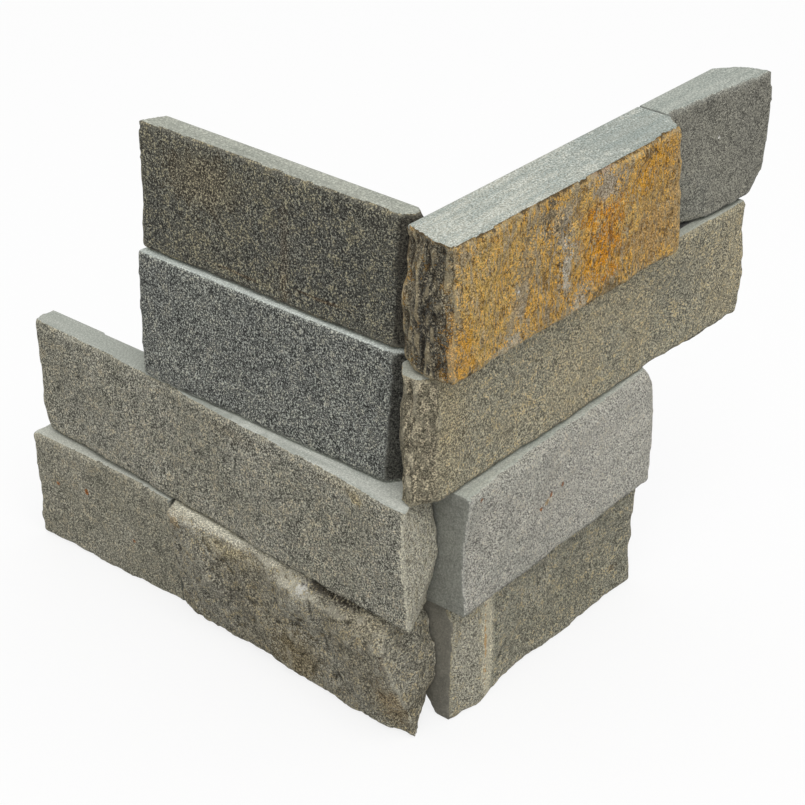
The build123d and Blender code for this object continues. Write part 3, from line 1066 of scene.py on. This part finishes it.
@dataclass
class Studio:
    """Camera, pale floor and soft light."""

    camera_at: tuple[float, float, float] = (-402.0, -323.3, 394.1)    # mm
    azimuth: float = 39.57     # of the view, from +X towards +Y, degrees
    dip: float = 30.04
    roll: float = 0.57
    focal: float = 104.05      # mm
    sensor: float = 36.0       # its width, mm
    clip: tuple[float, float] = (0.01, 100.0)      # m
    floor_side: float = 40.0   # m
    floor_drop: float = 0.05   # mm below the stones
    floor_colour: Colour = (0.93, 0.93, 0.93, 1.0)
    floor_bounce: Colour = (0.5, 0.5, 0.5, 1.0)
    floor_white: float = 0.8   # share of plain white that the eye sees over the shadow
    ambient: float = 0.7
    lamp_at: tuple[float, float, float] = (-0.55, -0.75, 2.0)      # m
    lamp_aim: tuple[float, float, float] = (0.04, 0.04, 0.07)      # m
    lamp_side: float = 1.5     # m
    lamp_power: float = 22.0   # W

    def build(self) -> None:
        """Set up everything round the object."""
        scene = bpy.context.scene
        scene.view_settings.view_transform = "Standard"
        self._camera(scene)
        self._floor(scene)
        self._world(scene)
        self._lamp(scene)
        LOG.info("studio: camera, floor and light")

    def _camera(self, scene: bpy.types.Scene) -> None:
        """Place the camera where the photograph was taken from.

        Args:
            scene: The scene.
        """
        turn, dip, roll = (math.radians(angle) for angle in (self.azimuth, self.dip, self.roll))
        reach = math.cos(dip)
        look = Vector((reach * math.cos(turn), reach * math.sin(turn), -math.sin(dip)))
        level = Vector((math.sin(turn), -math.cos(turn), 0.0))
        right = level * math.cos(roll) + level.cross(look) * math.sin(roll)
        upward = right.cross(look)
        data = bpy.data.cameras.new("view")
        data.sensor_width = self.sensor
        data.lens = self.focal
        data.clip_start, data.clip_end = self.clip
        camera = bpy.data.objects.new("view", data)
        turned = Matrix((right, upward, -look)).transposed().to_4x4()
        camera.matrix_world = Matrix.Translation(Vector(self.camera_at) * MM) @ turned
        scene.collection.objects.link(camera)
        scene.camera = camera

    def _floor(self, scene: bpy.types.Scene) -> None:
        """Lay a pale floor that stays white to the eye and keeps the shadow.

        Args:
            scene: The scene.
        """
        half = self.floor_side / 2
        level = -self.floor_drop * MM
        mesh = bpy.data.meshes.new("floor")
        signs = ((-1, -1), (1, -1), (1, 1), (-1, 1))
        mesh.from_pydata([(x * half, y * half, level) for x, y in signs], [], [(0, 1, 2, 3)])
        floor = bpy.data.objects.new("floor", mesh)
        scene.collection.objects.link(floor)
        material, bench = new_material("pale_floor")
        seen = self._seen(bench)
        colour = bench.mix(seen, self.floor_bounce, self.floor_colour)
        lit = bench.node("ShaderNodeBsdfPrincipled", {}, {"Base Color": colour, "Roughness": 1.0})
        white = bench.node("ShaderNodeEmission", {}, {"Color": WHITE})
        sockets = {0: seen * self.floor_white, 1: lit, 2: white}
        surface = bench.node("ShaderNodeMixShader", {}, sockets)
        bench.node("ShaderNodeOutputMaterial", {}, {"Surface": surface})
        mesh.materials.append(material)

    def _seen(self, bench: Bench) -> Shade:
        """Tell what the eye sees from light on its way.

        Args:
            bench: Bench to build on.

        Returns:
            1 for what is seen, straight, in a reflection or through glass, and 0 for the rest.
        """
        seen = bench.node("ShaderNodeLightPath", {}, {}, "Is Camera Ray")
        for ray in ("Is Glossy Ray", "Is Transmission Ray"):
            other = bench.node("ShaderNodeLightPath", {}, {}, ray)
            seen = bench.node("ShaderNodeMath", {"operation": "MAXIMUM"}, {0: seen, 1: other})
        return seen

    def _world(self, scene: bpy.types.Scene) -> None:
        """Make the world white to the eye, with even soft light on the object.

        Args:
            scene: The scene.
        """
        world = bpy.data.worlds.new("studio")
        world.use_nodes = True
        scene.world = world
        bench = Bench(world.node_tree)
        soft, white = (
            bench.node("ShaderNodeBackground", {}, {"Color": WHITE, "Strength": strength})
            for strength in (self.ambient, 1.0)
        )
        surface = bench.node("ShaderNodeMixShader", {}, {0: self._seen(bench), 1: soft, 2: white})
        bench.node("ShaderNodeOutputWorld", {}, {"Surface": surface})

    def _lamp(self, scene: bpy.types.Scene) -> None:
        """Hang a wide soft lamp that looks at the object.

        Args:
            scene: The scene.
        """
        data = bpy.data.lights.new("overhead", "AREA")
        data.shape = "SQUARE"
        data.size = self.lamp_side
        data.energy = self.lamp_power
        lamp = bpy.data.objects.new("overhead", data)
        lamp.location = self.lamp_at
        aim = Vector(self.lamp_aim) - Vector(self.lamp_at)
        lamp.rotation_euler = aim.to_track_quat("-Z", "Y").to_euler()
        scene.collection.objects.link(lamp)


OCHRE = tone(220, 180, 92)
ORANGE = tone(224, 162, 44)
RUST = tone(160, 96, 36)
TAN = tone(176, 150, 106)
UMBER = tone(92, 74, 50)
LILAC = tone(186, 177, 158)
PALE = tone(230, 226, 208)
# Painted glint: a white speck where light glints off a grain.
PAINTED_GLINT = tone(236, 234, 226)

# Its dark split end at the corner, split_end and end_ridge, is painted shade of the crevice where
# the strip butts against the other wing.
DARK = StoneFinish(
    "dark_split", "dark_stone", ground=tone(102, 101, 91), cloud=tone(97, 97, 89),
    pale=tone(160, 156, 140), warm=tone(112, 106, 85), shade=(0.22, 0.21, 0.2, 1.0),
    lift=(3.2, 3.2, 3.1, 1.0), grain=0.36, pale_share=0.18, dark_share=0.3, warm_share=0.2,
    contrast=0.95, bed=tone(166, 168, 157), bed_line=tone(140, 144, 134),
    sawn_side=tone(122, 122, 114), split_end=tone(66, 63, 55), end_ridge=tone(80, 77, 67),
    arris=tone(150, 138, 106), arris_share=0.4,
)
# Its dark split end at the corner, split_end and end_ridge, is painted shade of the crevice where
# the strip butts against the other wing.
BLUE = StoneFinish(
    "blue_split", "blue_stone", ground=tone(120, 122, 116), cloud=tone(114, 116, 111),
    pale=tone(170, 172, 164), warm=tone(122, 120, 108), shade=(0.19, 0.19, 0.19, 1.0),
    lift=(3.2, 3.2, 3.15, 1.0), pale_share=0.18, contrast=1.0, bed=tone(204, 209, 202),
    bed_line=tone(172, 180, 174), sawn_side=tone(126, 128, 122), split_end=tone(76, 76, 70),
    end_ridge=tone(84, 84, 78), arris=tone(186, 190, 180), arris_share=0.45,
)
OUTER = replace(
    BLUE, name="outer_split", ground=tone(148, 146, 134), cloud=tone(142, 140, 129),
    shade=(0.24, 0.24, 0.24, 1.0), contrast=0.75, lift=(2.0, 2.0, 1.95, 1.0),
    bed=tone(172, 176, 167), bed_line=tone(142, 149, 142), split_end=None, bed_contrast=0.4,
    bed_lines=0.8,
)
GREY = StoneFinish(
    "grey_split", "grey_stone", ground=tone(154, 151, 136), cloud=tone(147, 144, 128),
    pale=tone(190, 186, 168), warm=tone(154, 143, 118), shade=(0.27, 0.27, 0.26, 1.0),
    lift=(2.3, 2.3, 2.3, 1.0), bed=tone(196, 197, 186), bed_line=tone(176, 179, 168),
    sawn_side=tone(126, 127, 119), arris=tone(178, 172, 150), arris_reach=1.2, crest=0.35,
)
LONG_GREY = replace(
    GREY, name="long_split", ground=tone(151, 149, 136), cloud=tone(144, 142, 128),
    bed=tone(172, 175, 166), bed_line=tone(156, 161, 152), contrast=1.0,
    split_end=tone(186, 182, 166), end_ridge=tone(172, 166, 146), ridge_share=0.25,
    end_lift=(1.8, 1.8, 1.75, 1.0), end_break=0.1, nose=tone(216, 211, 190),
)
BROWN = StoneFinish(
    "brown_split", "brown_stone", ground=tone(156, 153, 139), cloud=tone(149, 144, 127),
    pale=tone(196, 191, 173), warm=tone(156, 141, 106), shade=(0.28, 0.27, 0.25, 1.0),
    lift=(2.3, 2.3, 2.25, 1.0), grain=0.36, warm_share=0.14, mottling=0.4, seams=0.6,
    bed=tone(212, 208, 190), bed_line=tone(180, 177, 160), bed_contrast=0.6,
    sawn_side=tone(126, 124, 114), arris=tone(222, 217, 198), arris_share=0.7, arris_reach=1.5,
    crest=0.4, relief=0.07,
)
RUSTY = StoneFinish(
    "rusty_split", "rust_stone", ground=tone(222, 189, 118), cloud=tone(221, 177, 94),
    pale=tone(226, 208, 166), warm=tone(222, 164, 56), shade=(0.26, 0.22, 0.17, 1.0),
    lift=(1.8, 1.8, 1.95, 1.0), dark_share=0.22, warm_share=0.3, contrast=0.62, mottling=0.75,
    flake=tone(172, 160, 134), flake_share=0.26, fleck=tone(166, 150, 118), fleck_share=0.26,
    seams=1.0, bed=tone(193, 195, 183), bed_line=tone(146, 156, 150), bed_contrast=0.5,
    bed_lines=0.75, sawn_side=tone(126, 126, 118), split_end=tone(98, 94, 82),
    end_ridge=tone(136, 128, 108), end_lift=(2.7, 2.65, 2.5, 1.0), end_starts=0.5, end_break=0.16,
    arris=tone(72, 58, 36), arris_share=0.9, arris_reach=1.5, relief=0.07,
)
OLIVE = StoneFinish(
    "olive_split", "olive_stone", ground=tone(168, 161, 138), cloud=tone(161, 157, 138),
    pale=tone(202, 194, 170), warm=tone(174, 156, 114), shade=(0.27, 0.26, 0.24, 1.0),
    lift=(2.15, 2.12, 2.05, 1.0), pale_share=0.22, warm_share=0.12, mottling=0.2,
    bed=tone(180, 182, 171), bed_line=tone(160, 163, 152), sawn_side=tone(132, 129, 118),
    split_end=tone(122, 116, 98), end_ridge=tone(172, 162, 138), ridge_share=0.35,
    arris=tone(160, 150, 122), arris_share=0.4,
)
MOSS = replace(
    OLIVE, name="moss_split", ground=tone(162, 159, 143), cloud=tone(154, 152, 136),
    split_end=None, mottling=0.35, warm_share=0.1, lift=(1.95, 1.95, 1.92, 1.0),
)
LILAC_GREY = StoneFinish(
    "lilac_split", "lilac_stone", ground=tone(186, 183, 172), cloud=tone(183, 181, 170),
    pale=tone(210, 208, 199), warm=tone(186, 177, 157), shade=(0.34, 0.34, 0.34, 1.0),
    lift=(1.65, 1.65, 1.65, 1.0), grain=0.3, pale_share=0.22, warm_share=0.05, contrast=0.95,
    mottling=0.16, bed=tone(192, 194, 183), bed_line=tone(164, 170, 161), bed_contrast=0.42,
    sawn_side=tone(144, 145, 136), arris=tone(196, 196, 186), arris_share=0.4, arris_reach=1.3,
)


def painted_joint_shadow(strength: float) -> Mark:
    """Painted shadow: a dark line along the foot of a face, where shade falls in the gap of the
    joint.
    """
    return Mark(0.5, 0.0, (400.0, 1.15), tone(22, 20, 17), strength, side=Side.VEIN)


STONES = (
    Stone(
        "left_top_stone", Wing.LEFT, DARK, seed=21, ripple=0.1, pitting=0.08, chips=0.22,
        marks=(
            Mark(0.44, 0.4, (1.6, 14.0), tone(120, 98, 62), 0.4, 1.4),
            Mark(0.75, 0.7, (14.0, 8.0), tone(116, 106, 84), 0.5, 0.9),
            Mark(0.4, 0.5, (16.0, 12.0), tone(92, 92, 86), 0.6, 0.9),
            Mark(0.3, 0.16, (10.0, 0.5), UMBER, 0.6, 0.6),
            Mark(0.62, 0.1, (12.0, 0.5), UMBER, 0.5, 0.6),
            painted_joint_shadow(1.0),
        ),
    ),
    Stone(
        "left_third_stone", Wing.LEFT, BLUE, seed=22, swell=0.1, ripple=0.06, chips=0.15,
        marks=(painted_joint_shadow(0.6),),
    ),
    Stone(
        "left_second_stone", Wing.LEFT, LONG_GREY, seed=23, swell=0.25, ripple=0.1, chips=0.15,
        marks=(
            Mark(0.127, 0.92, (3.0, 2.2), tone(176, 160, 118), 0.7, 1.0),
            # Painted light: the bed is paler towards the corner, where the strip above shades it.
            Mark(0.18, 0.5, (45.0, 14.0), tone(210, 212, 203), 0.9, 0.6, Side.BED),
            Mark(0.16, 0.95, (9.0, 2.4), tone(168, 160, 138), 0.5, 1.0),
            Mark(0.45, 0.9, (9.0, 2.0), tone(110, 102, 84), 0.4, 1.0),
            painted_joint_shadow(1.0),
        ),
    ),
    Stone(
        "left_base_outer_stone", Wing.LEFT, GREY, seed=24, sawn_ends=Sawn.NEAR,
        marks=(
            Mark(0.845, 0.58, (0.8, 0.8), RUST, 0.8),
            Mark(0.63, 0.64, (0.9, 1.1), RUST, 0.9),
            Mark(0.29, 0.41, (0.7, 0.7), RUST, 0.7),
        ),
    ),
    Stone(
        "left_base_corner_stone", Wing.LEFT, BROWN, seed=25, sawn_ends=Sawn.FAR, relaxing=5,
        swell=0.35, ripple=0.3, pitting=0.14, flakes=0.22, terraces=0.1, chips=0.6,
        chip_reach=2.0,
        shifts=(
            Shift(0.3, 1.0, (15.0, 3.6), -3.2),
            Shift(0.12, 1.0, (10.0, 2.6), -2.2),
            Shift(0.62, 1.0, (26.0, 4.5), -2.2),
            Shift(0.33, 0.95, (5.0, 2.2), -1.4),
        ),
        marks=(
            Mark(0.965, 0.93, (3.0, 3.0), TAN, 0.7, 1.0),
            Mark(0.8, 0.98, (18.0, 1.0), PALE, 0.8, 2.0),
            Mark(0.54, 0.97, (14.0, 1.3), tone(196, 190, 170), 0.45, 2.4, Side.VEIN),
            Mark(0.6, 0.96, (12.0, 1.0), PALE, 0.6, 2.4),
            Mark(0.72, 0.9, (9.0, 2.4), tone(180, 166, 128), 0.5, 1.4),
            Mark(0.44, 0.91, (6.0, 2.8), tone(214, 209, 190), 0.8, 2.0),
            Mark(0.42, 0.94, (3.6, 1.6), tone(206, 201, 182), 0.6, 2.4, Side.VEIN),
            Mark(0.4, 0.93, (1.6, 1.2), PAINTED_GLINT, 0.9, 1.4, Side.VEIN),
            Mark(0.62, 0.9, (30.0, 4.0), tone(206, 202, 184), 0.7, 0.8, Side.BED),
            Mark(0.45, 0.24, (8.0, 9.0), tone(136, 120, 84), 0.6, 1.2),
            Mark(0.14, 0.93, (9.0, 2.4), tone(166, 158, 136), 0.5, 1.2),
            # These two: dark cracks under the foot of the strip above, and painted shadow along
            # that foot.
            Mark(0.34, 0.96, (6.0, 1.2), tone(70, 64, 52), 0.7, 0.8),
            Mark(0.29, 0.97, (9.0, 0.9), tone(58, 52, 42), 0.85, 1.2, Side.VEIN),
            # Painted shadow: the bed darker under the foot of the strip above.
            Mark(0.2, 0.9, (15.0, 6.0), tone(112, 106, 90), 0.9, 1.0, Side.BED),
            Mark(0.69, 0.5, (6.0, 6.0), tone(108, 104, 92), 0.5, 1.2),
            Mark(0.04, 0.75, (1.8, 3.0), UMBER, 0.8, 0.8),
            Mark(0.06, 0.3, (5.0, 8.0), TAN, 0.4, 1.0),
        ),
    ),
    Stone(
        "right_top_corner_stone", Wing.RIGHT, RUSTY, seed=26, sawn_ends=Sawn.FAR, relaxing=5,
        swell=0.22, ripple=0.14, pitting=0.13, ridges=0.85, terraces=0.12,
        terrace_size=(5.0, 5.0, 11.0), chips=0.3, chip_reach=1.4,
        marks=(
            Mark(0.154, 0.5, (11.0, 14.0), OCHRE, 0.5, 1.2),
            Mark(0.039, 0.2, (5.0, 9.0), ORANGE, 0.7, 1.0),
            Mark(0.31, 0.59, (4.0, 8.0), tone(172, 156, 124), 0.6, 1.4),
            Mark(0.27, 0.27, (3.5, 7.0), LILAC, 0.5, 1.4),
            Mark(0.616, 0.48, (8.5, 12.0), tone(226, 152, 26), 0.95, 1.2),
            Mark(0.563, 0.38, (4.0, 8.0), ORANGE, 0.7, 1.2),
            Mark(0.645, 0.45, (1.3, 5.5), tone(130, 84, 28), 0.8, 1.2),
            Mark(0.81, 0.8, (8.0, 8.0), ORANGE, 0.8, 1.2),
            Mark(0.911, 0.79, (5.0, 7.0), ORANGE, 0.7, 1.2),
            Mark(0.845, 0.28, (11.0, 10.0), tone(200, 160, 96), 0.85, 1.2),
            Mark(0.95, 0.4, (4.0, 15.0), tone(192, 160, 106), 0.85, 1.2),
            Mark(0.418, 0.8, (6.0, 5.0), tone(206, 192, 160), 0.7, 1.4),
            Mark(0.45, 0.72, (2.6, 3.6), UMBER, 0.55, 1.6),
            Mark(0.634, 0.87, (6.5, 4.6), LILAC, 0.9, 1.0),
            Mark(0.459, 0.45, (2.6, 9.0), tone(198, 190, 172), 1.0, 1.4),
            Mark(0.526, 0.09, (4.5, 4.5), tone(196, 188, 168), 0.85, 1.2),
            Mark(0.242, 0.03, (7.0, 3.6), tone(196, 188, 166), 0.8, 1.2),
            Mark(0.65, 0.05, (7.0, 2.2), tone(100, 92, 66), 0.7, 1.0),
            Mark(0.278, 0.41, (0.45, 0.45), PAINTED_GLINT, 1.0, 0.3),
            Mark(0.62, 0.99, (4.0, 0.8), tone(198, 160, 140), 0.6, 0.6),
            Mark(0.01, 0.62, (2.6, 11.0), tone(140, 126, 98), 0.8, 2.0),
            Mark(0.4, 0.84, (2.4, 4.0), tone(70, 64, 52), 0.7, 2.0),
            Mark(0.8, 0.93, (4.0, 1.6), tone(70, 60, 42), 0.7, 1.6),
            Mark(0.14, 0.5, (3.0, 20.0), tone(128, 121, 102), 0.8, 1.6, Side.END),
            Mark(0.26, 0.76, (1.3, 2.4), tone(160, 134, 80), 0.7, 1.2, Side.END),
            Mark(0.5, 0.42, (4.2, 15.0), tone(68, 67, 62), 0.85, 1.6, Side.END),
            Mark(0.6, 0.86, (4.0, 4.0), tone(72, 70, 62), 0.7, 1.6, Side.END),
            Mark(0.94, 0.28, (2.4, 13.0), tone(190, 142, 66), 0.9, 1.8, Side.END),
            Mark(0.92, 0.76, (2.4, 8.0), tone(142, 126, 94), 0.8, 1.8, Side.END),
            Mark(0.85, 0.5, (30.0, 14.0), tone(162, 168, 160), 0.9, 0.8, Side.BED),
        ),
    ),
    Stone(
        "right_top_outer_stone", Wing.RIGHT, OUTER, seed=27, sawn_ends=Sawn.NEAR,
        marks=(
            Mark(0.5, 0.63, (0.5, 0.5), PAINTED_GLINT, 1.0, 0.2),
            Mark(0.25, 0.2, (9.0, 8.0), tone(146, 146, 136), 0.5, 1.0),
            painted_joint_shadow(1.0),
        ),
    ),
    Stone(
        "right_third_stone", Wing.RIGHT, OLIVE, seed=28, ridges=0.7, relaxing=6,
        marks=(
            Mark(0.06, 0.5, (9.0, 20.0), tone(162, 150, 118), 0.4, 1.0),
            Mark(0.79, 0.6, (18.0, 13.0), tone(142, 139, 124), 0.5, 1.0),
            Mark(0.25, 0.45, (2.0, 18.0), tone(92, 86, 68), 0.5, 1.0, Side.END),
            painted_joint_shadow(0.7),
        ),
    ),
    Stone(
        "right_second_stone", Wing.RIGHT, LILAC_GREY, seed=29, sawn_ends=Sawn.NEAR, chips=0.12,
        shifts=(Shift(0.0, 0.6, (14.0, 20.0), -1.5), Shift(0.0, 1.0, (12.0, 3.0), 1.2)),
        marks=(
            Mark(0.49, 0.55, (0.7, 1.0), RUST, 0.9),
            Mark(0.43, 0.53, (0.7, 1.1), RUST, 0.9),
            Mark(0.41, 0.5, (2.2, 1.0), TAN, 0.8, 0.7),
            Mark(0.37, 0.48, (0.8, 0.7), RUST, 0.9),
            Mark(0.06, 0.93, (0.8, 0.6), RUST, 0.8),
            Mark(0.8, 0.5, (28.0, 22.0), tone(200, 197, 186), 0.7, 1.0),
            painted_joint_shadow(0.7),
        ),
    ),
    Stone(
        "right_base_stone", Wing.RIGHT, MOSS, seed=30, sawn_ends=Sawn.NEAR, swell=0.25,
        shifts=(Shift(0.0, 1.0, (4.0, 4.5), -2.4),),
        marks=(
            Mark(0.08, 0.5, (8.0, 26.0), tone(178, 174, 158), 0.7, 0.6),
            Mark(0.62, 0.3, (26.0, 10.0), tone(138, 135, 118), 0.7, 1.2),
            Mark(0.175, 0.55, (4.0, 26.0), tone(204, 198, 176), 0.9, 0.2),
            Mark(0.175, 0.55, (2.0, 26.0), tone(206, 198, 172), 0.5, 0.6, Side.VEIN),
            Mark(0.164, 0.5, (0.5, 9.0), tone(206, 158, 88), 0.7, 1.6, Side.VEIN),
            Mark(0.88, 0.25, (2.0, 1.6), UMBER, 0.6, 0.8),
        ),
    ),
)


def main() -> None:
    """Build the stones, the adhesive and the studio in order."""
    logging.basicConfig(level=logging.INFO, format="%(name)s %(message)s")
    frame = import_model()
    for stone in STONES:
        stone.build(frame)
    AdhesiveBeds().build(frame)
    Studio().build()


if __name__ == "__main__":
    main()
